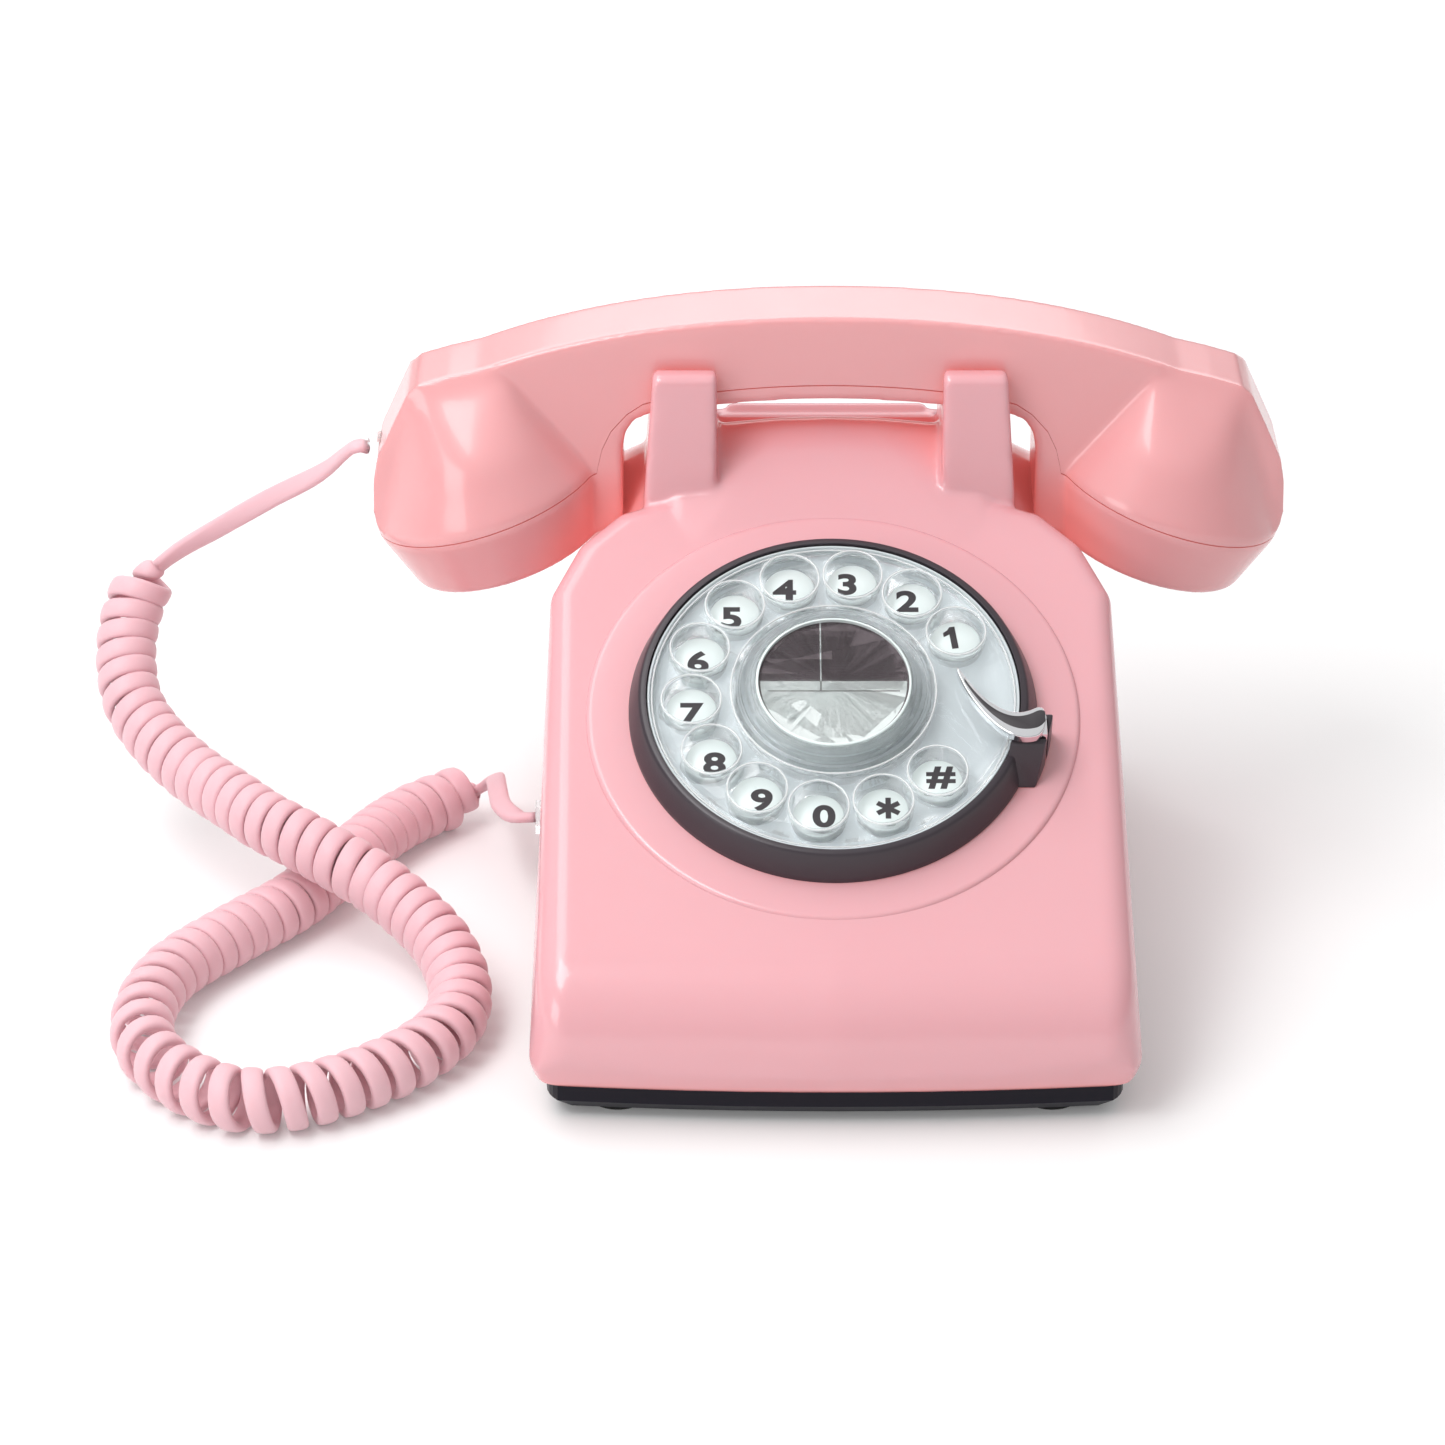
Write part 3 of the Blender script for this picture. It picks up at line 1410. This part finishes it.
    def build(self) -> None:
        """Melts grip and cups together, parts them at the seam and drills the caps."""
        form = joined([self.grip(), self.cup(-1), self.cup(1)])
        softened(form, self.voxel, self.rounds)
        self.rounded_cups(form)
        cut(form, self.plug_room(-2, 12, 0.1))
        only(form)
        bpy.ops.object.duplicate()
        inner = bpy.context.active_object
        cut(form, self.below_seam(0.0))
        cut(inner, self.below_seam(self.seam_gap), Cut.KEEP)
        r, turns = self.hole_circle_r, [math.tau * k / self.cap_holes for k in range(self.cap_holes)]
        for side in (-1, 1):
            turn, axis, across = self.leaning(side)
            middle = self.cup_middle(side) - axis * (self.cap_h - 1)
            spots = [middle]
            spots += [middle + across * r * math.cos(a) + Vector((0, r * math.sin(a), 0)) for a in turns]
            cut(inner, joined([rod(p, self.hole_r, 8, turn, 24) for p in spots]))
            cut(inner, rod((side * self.screw_x, HAND_Y, 80), 3, 32, facets=40))
        smooth_by_angle(form, 40)
        smooth_by_angle(inner, 40)
        settle(form, "handset_top_shell", Body.HANDSET, HAND_PINK, ["handset_outer"])
        settle(inner, "handset_under_shell", Body.HANDSET, HAND_PINK, ["handset_inner"])
        self.jack()

    def plug_room(self, start: float, stop: float, room: float) -> Piece:
        """Makes the plug's box with some room round it.

        Args:
            start: Where it starts, from the handset's left end.
            stop: Where it ends, from the same end.
            room: How much wider it is than the plug, on each side.

        Returns:
            The box.
        """
        (half_y, half_z), end = self.plug_half, HANDSET_L / 2
        return block((start - end, HAND_Y - half_y - room, PLUG_Z - half_z - room),
                     (stop - end, HAND_Y + half_y + room, PLUG_Z + half_z + room))

    def jack(self) -> None:
        """Makes the black socket that holds the cord's plug, a little below the handset's skin."""
        obj = bevelled(self.plug_room(3.2, 12.4, 1.35), 0.4, 2)
        cut(obj, self.plug_room(-2, 7.6, 0.0))
        settle(smooth_by_angle(obj), "handset_socket", Body.HANDSET, BLACK_BASE, ["handset_jack"])


# ---------------------------------------------------------------- dial


@dataclass
class Dial:
    """Dial-look keypad: dark ring, number plate, clear wheel, twelve keys, centre button and finger stop."""

    ring_r: float = 49.8
    ring_h: float = 9.3
    wheel_r: float = 45.3
    key_circle_r: float = 34.6
    key_r: float = 6.0
    key_top: float = 7.0
    hole_r: float = 6.7
    key_from: float = 29.5
    key_step: float = 26.0
    plate_top: float = 5.2
    field_h: float = 1.2
    block_h: float = 12.6
    button_r: float = 18.9
    stop_h: float = 13.4
    stop_root: float = 4.5
    foot_at: Pair = (49.4, -13.0)
    foot_half: Pair = (1.8, 2.5)
    digit_h: float = 6.5
    digit_shift: float = 1.3
    digit_spread: float = 1.28
    keys: tuple[str, ...] = ("1", "2", "3", "4", "5", "6", "7", "8", "9", "0", "star", "hash")
    marks: dict[str, str] = field(default_factory=lambda: {"star": "*", "hash": "#"})

    def key_at(self, k: int) -> Pair:
        """Place of key number k on its circle."""
        a = math.radians(self.key_from + k * self.key_step)
        return self.key_circle_r * math.cos(a), self.key_circle_r * math.sin(a)

    def at_keys(self, height: float, radius: float, depth: float) -> Piece:
        """Makes a rod with its middle at one height over each key, all of them joined."""
        places = [(*self.key_at(k), height) for k in range(len(self.keys))]
        return joined([rod(place, radius, depth, facets=64) for place in places])

    @staticmethod
    def place(obj: Piece, degrees: float, name: str, body: str, finish: Finish, nodes: Sequence[str],
              slot: str) -> None:
        """Shades a piece modelled at the origin, moves it to the panel and settles it."""
        settle(on_panel(smooth_by_angle(obj, degrees)), name, body, finish, nodes)

    def foot(self, room: float, low: float, high: float) -> Piece:
        """Makes the box of the finger stop's foot, some room wider, between two heights."""
        (x, y), wide, deep = self.foot_at, self.foot_half[0] + room, self.foot_half[1] + room
        return block((x - wide, y - deep, low), (x + wide, y + deep, high))

    def ring(self) -> None:
        """Makes the dark ring and the block that carries the finger stop."""
        r, h, w = self.ring_r, self.ring_h, self.wheel_r + 0.2
        profile = [(r, self.field_h), (r, 2.2), (r - 0.15, 2.8), (47.5, h - 0.9), (47.1, h - 0.3),
                   (46.7, h), (w, h), (w, 4.0), (42.5, 4.0), (42.5, -2.8), (40, -2.8), (40, -4.4),
                   (46.2, -4.4), (46.2, self.field_h)]
        obj = lathe(profile, 240)
        side = [(-22.5, self.field_h), (-17, self.block_h), (-8.5, self.block_h), (-6, self.field_h)]
        shape = prism([(30, y, z) for y, z in side], (30, 0, 0))
        cut(shape, rod((0, 0, 8), 53.5, 40, facets=240), Cut.KEEP)
        cut(shape, rod((0, 0, 8), w, 60, facets=240))
        bevelled(shape, 0.5, 3)
        cut(obj, shape, Cut.ADD)
        cut(obj, self.foot(0.35, self.field_h, 30))
        self.place(obj, 40, "dial_ring_moulding", Body.BASE, BLACK_RING, ["dial_ring"], "black")

    def plate(self) -> None:
        """Makes the number plate with a hole for each key."""
        w, p = self.wheel_r, self.plate_top
        inner = self.button_r + 0.3
        obj = lathe([(inner, 4.0), (inner, p), (w - 0.75, p), (w - 0.75, 8.3), (w - 0.55, 8.6),
                     (w - 0.2, 8.6), (w, 8.3), (w, 4.0)], 240)
        cut(obj, self.at_keys(4.5, self.key_r + 0.3, 6))
        self.place(obj, 35, "number_plate_disc", Body.BASE, SILVER_PLATE, ["number_plate"], "silver")

    def wheel(self) -> None:
        """Makes the clear wheel with a rimmed hole over each key."""
        w, p = self.wheel_r - 0.85, self.plate_top + 0.05
        profile = [(w, p), (w, 7.3), (w - 0.2, 7.8), (w - 0.6, 8.1), (w - 1.4, 8.3), (w - 1.7, 8.8),
                   (w - 2.4, 9.3), (40, 10.2), (35, 10.7), (30, 11.0), (25.4, 11.1), (24.6, 10.9),
                   (24.3, 10.3), (24.3, p)]
        obj = lathe(profile, 240)
        cut(obj, self.at_keys(9.6, self.hole_r + 0.9, 3.9), Cut.ADD)
        cut(obj, self.at_keys(10, self.hole_r, 20))
        bevelled(obj, 0.28, 2, 30)
        self.place(obj, 40, "clear_wheel", Body.BASE, CLEAR, ["finger_wheel"], "clear")
        edges = [self.bead(self.hole_r + 0.5, 11.5, self.key_at(k), 64) for k in range(len(self.keys))]
        edges += [self.bead(w - 0.35, 8.1, (0, 0), 200), self.bead(24.9, 11.15, (0, 0), 160)]
        self.place(joined(edges), 80, "wheel_edges", Body.BASE, CLEAR_EDGE, [], "clear")

    @staticmethod
    def bead(radius: float, height: float, middle: Pair, steps: int) -> Piece:
        """Makes the thin polished bead along a round edge of the clear wheel.

        Args:
            radius: The edge's radius.
            height: Its height above the panel.
            middle: The middle of the edge's circle.
            steps: Sides round the circle.

        Returns:
            The bead.
        """
        r = 0.24
        turns = [math.tau * k / 8 for k in range(8)]
        obj = lathe([(radius + r * math.cos(a), height + r * math.sin(a)) for a in turns], steps)
        obj.location = (*middle, 0.0)
        return baked(obj)

    def key_pieces(self) -> None:
        """Makes the twelve keys and their printed characters."""
        r, top = self.key_r + 0.2, self.key_top
        profile = [(NEAR_AXIS, 1.5), (r + 1.0, 1.5), (r + 1.0, 2.5), (r, 2.5), (r, top - 0.4),
                   (r - 0.1, top - 0.15), (r - 0.3, top), (NEAR_AXIS, top)]
        for k, name in enumerate(self.keys):
            x, y = self.key_at(k)
            obj = lathe(profile, 64)
            obj.location = (x, y, 0)
            baked(obj)
            node = f"key_{name}"
            self.place(obj, 40, f"key_cap_{name}", node, KEY_SILVER, [node], "silver")
            digit = self.character(self.marks.get(name, name))
            lean = self.digit_shift / self.key_circle_r
            digit.location = (x - y * lean, y + x * lean, top)
            baked(digit)
            settle(on_panel(digit), f"digit_{name}", node, INK, [])

    def star(self) -> Piece:
        """Draws the bold star with six arms.

        Returns:
            The star, lying flat at the origin.
        """
        reach, wide = 0.46 * self.digit_h, 0.65
        obj = block((-wide, -reach, 0), (wide, reach, 0.1))
        for turn in (60, 120):
            bar = block((-wide, -reach, 0), (wide, reach, 0.1))
            bar.rotation_euler = (0, 0, math.radians(turn))
            cut(obj, bar, Cut.ADD)
        return obj

    def one(self) -> Piece:
        """Draws the figure one with its flag.

        Returns:
            The figure, lying flat at the origin.
        """
        tall = self.digit_h / 2
        shape = [(0.95, -tall), (0.95, tall), (-0.35, tall), (-1.0, tall - 0.9), (-2.15, tall - 1.55),
                 (-2.15, tall - 2.75), (-0.65, tall - 2.15), (-0.65, -tall)]
        obj = prism([(x, y, 0) for x, y in shape], (0, 0, 0.1))
        obj.rotation_euler = (0, 0, math.radians(8))
        return baked(obj)

    drawn = {"*": star, "1": one}

    def character(self, sign: str) -> Piece:
        """Makes one raised printed character with its middle at the origin.

        Args:
            sign: The character.

        Returns:
            A thin mesh, in millimetres.
        """
        if sign in self.drawn:
            return self.drawn[sign](self)
        text = added(bpy.ops.object.text_add).data
        text.body = sign
        text.size = 8.6
        text.offset = 0.3
        text.extrude = 0.05
        text.resolution_u = 8
        bpy.ops.object.convert(target="MESH")
        obj = bpy.context.active_object
        x, y = ([v.co[axis] for v in obj.data.vertices] for axis in (0, 1))
        up = self.digit_h / (max(y) - min(y))
        wide = self.digit_spread * up
        mid_x, mid_y = (min(x) + max(x)) / 2, (min(y) + max(y)) / 2
        for vertex in obj.data.vertices:
            vertex.co.x = (vertex.co.x - mid_x) * wide
            vertex.co.y = (vertex.co.y - mid_y) * up
        return outward(obj, 0.0005)

    def centre(self) -> None:
        """Makes the stepped clear bezel, the centre button, its card and its cover."""
        r, p = self.button_r, self.plate_top
        bezel = lathe([(23.8, p), (23.8, 11.2), (23.6, 11.6), (23.2, 11.7), (22.9, 11.5), (22.6, 11.6),
                       (22.4, 12.3), (22.1, 12.5), (21.5, 12.5), (21.3, 12.7), (21.2, 13.3),
                       (20.9, 13.5), (20.3, 13.5), (20.1, 13.6), (20.0, 13.9), (19.7, 14.0),
                       (r + 0.4, 14.0), (r + 0.4, p)], 200)
        self.place(bezel, 30, "clear_bezel", Body.BASE, CLEAR, ["centre_bezel"], "clear")
        button = lathe([(15, 2.8), (15, 1.8), (r + 1.6, 1.8), (r + 1.6, 3.0), (r, 3.0), (r, 14.2),
                        (r - 0.2, 14.4), (r - 0.6, 14.4), (r - 0.6, 13.0), (NEAR_AXIS, 13.0),
                        (NEAR_AXIS, 2.8)], 160)
        self.place(button, 35, "centre_button_cap", Body.CENTRE, KEY_SILVER, ["centre_button"], "plate")
        cover_r = r - 0.65
        cover = lathe([(NEAR_AXIS, 13.4), (cover_r, 13.4), (cover_r, 14.6), (cover_r - 0.4, 15.0),
                       (cover_r - 1.2, 15.3), (12, 15.38), (NEAR_AXIS, 15.4)], 160)
        self.place(cover, 30, "card_window", Body.CENTRE, CLEAR_WINDOW, ["card_cover"], "clear")
        dress("centre_card", PrintedCard())

    def stop_middle(self, t: float) -> Pair:
        """Middle line of the finger stop, from its root to its tip."""
        return (51 - 21.2 * t, -11.6 + 2.5 * t - 5.5 * math.sin(math.pi * t) * (1 - t) + 11.5 * t ** 4)

    def stop_half(self, t: float) -> float:
        """Half width of the finger stop along its middle line.

        Args:
            t: How far along it, from 0 at the root to 1 at the tip.

        Returns:
            Half the width, in millimetres.
        """
        rounding = math.sqrt(max(0.0, 1 - (1 - min(t, 0.14) / 0.14) ** 2)) + 0.02
        end = 1 - 6 * (t - 0.92) if t > 0.92 else rounding
        return self.stop_root * (1 - 0.64 * t) * min(1.0, end)

    def stop(self) -> None:
        """Makes the chromed finger stop with its dark inlay."""
        steps = 32
        upper = [(self.stop_middle(k / steps), self.stop_half(k / steps)) for k in range(steps + 1)]
        ring = [(x, y + half, self.stop_h) for (x, y), half in upper]
        ring += [(x, y - half, self.stop_h) for (x, y), half in reversed(upper)]
        blade = prism(ring, (0, 0, 2.6))
        bevelled(blade, 0.9, 5, 50)
        root = bevelled(self.foot(0.0, 3.2, self.stop_h + 0.6), 0.3, 2)
        obj = joined([blade, root])
        self.place(obj, 40, "chrome_finger_stop", Body.STOP, CHROME, ["finger_stop"], "chromed")
        inlay = [(self.stop_middle(k / 64), self.stop_half(k / 64), 1 - k / 64) for k in range(1, 60)]
        level = self.stop_h + 2.2
        shape = [(x, y + (0.45 + 0.3 * near) * half, level) for (x, y), half, near in inlay]
        shape += [(x, y - (0.05 + 0.45 * near) * half, level) for (x, y), half, near in reversed(inlay)]
        stripe = bevelled(prism(shape, (0, 0, 0.46)), 0.12, 2, 50)
        self.place(stripe, 40, "stop_stripe", Body.STOP, INK, ["finger_stop_inlay"], "black")

    def build(self) -> None:
        """Makes the dial from its ring to its finger stop."""
        self.ring()
        self.plate()
        self.wheel()
        self.key_pieces()
        self.centre()
        self.stop()


# ---------------------------------------------------------------- small parts


@dataclass(frozen=True)
class SmallParts:
    """Nodes of the part whose shape is right and that only need their finish."""

    finishes: tuple[tuple[str, Finish], ...] = (
        ("base_plate", BLACK_BASE), ("rubber_feet", FEET_RUBBER), ("base_screws", STEEL),
        ("ballast_weight", IRON), ("main_board", CircuitBoard()), ("loudspeaker", CAPSULE),
        ("line_jack", BLACK_BASE), ("cord_jack", BLACK_BASE), ("key_mat", MAT_RUBBER),
        ("keypad_board", CircuitBoard()),
        ("hook_plungers", IVORY), ("hook_lever", STEEL), ("receiver", CAPSULE), ("transmitter", CAPSULE),
        ("handset_weight", IRON), ("handset_screws", STEEL),
        ("handset_plug", CLEAR_PLUG), ("body_plug", CLEAR_PLUG))

    def build(self) -> None:
        """Dresses each node."""
        for node, finish in self.finishes:
            dress(node, finish)


def main() -> None:
    """Builds the studio and the telephone."""
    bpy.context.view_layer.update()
    studio = Studio()
    studio.camera()
    CurlyCord().build()
    studio.build()
    Housing().build()
    Handset().build()
    Dial().build()
    SmallParts().build()


if __name__ == "__main__":
    main()
